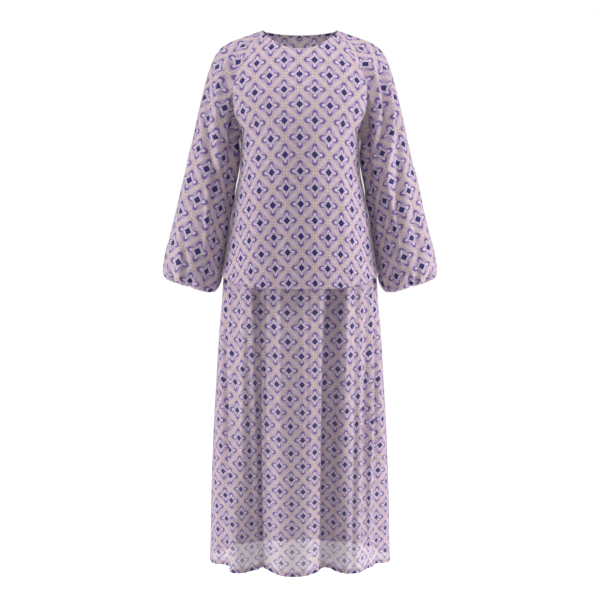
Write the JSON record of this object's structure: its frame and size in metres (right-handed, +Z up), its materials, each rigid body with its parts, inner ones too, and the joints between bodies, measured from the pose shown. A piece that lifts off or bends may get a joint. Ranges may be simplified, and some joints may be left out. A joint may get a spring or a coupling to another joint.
{
  "type": "baju kurung set of raglan blouse and long skirt",
  "caption": "Loose long-sleeved raglan blouse with gathered wrists over a long gathered skirt, in printed crepe chiffon, worn shape with no wearer.",
  "frame": {"origin": "middle of the blouse's neck opening, where the wearer's neck and shoulders hold the set", "axes": "+Z up along the wearer, -Y out of the front, +X to the wearer's left"},
  "size_m": [0.7098, 0.3989, 1.3596],
  "materials": {
    "printed_chiffon_blouse": "matt crepe with a slight sheen",
    "printed_chiffon_sleeve": "matt crepe with a slight sheen",
    "printed_chiffon_skirt": "matt crepe with a slight sheen",
    "elastic_casing": "matt crepe, gathered on elastic"
  },
  "bodies": {
    "root": {"blouse_front": "printed_chiffon_blouse", "blouse_back": "printed_chiffon_blouse", "sleeve_left": "printed_chiffon_sleeve", "sleeve_right": "printed_chiffon_sleeve", "cuff_left": "elastic_casing", "cuff_right": "elastic_casing", "skirt_front": "printed_chiffon_skirt", "skirt_back": "printed_chiffon_skirt", "skirt_waistband": "elastic_casing"}
  },
  "joints": []
}
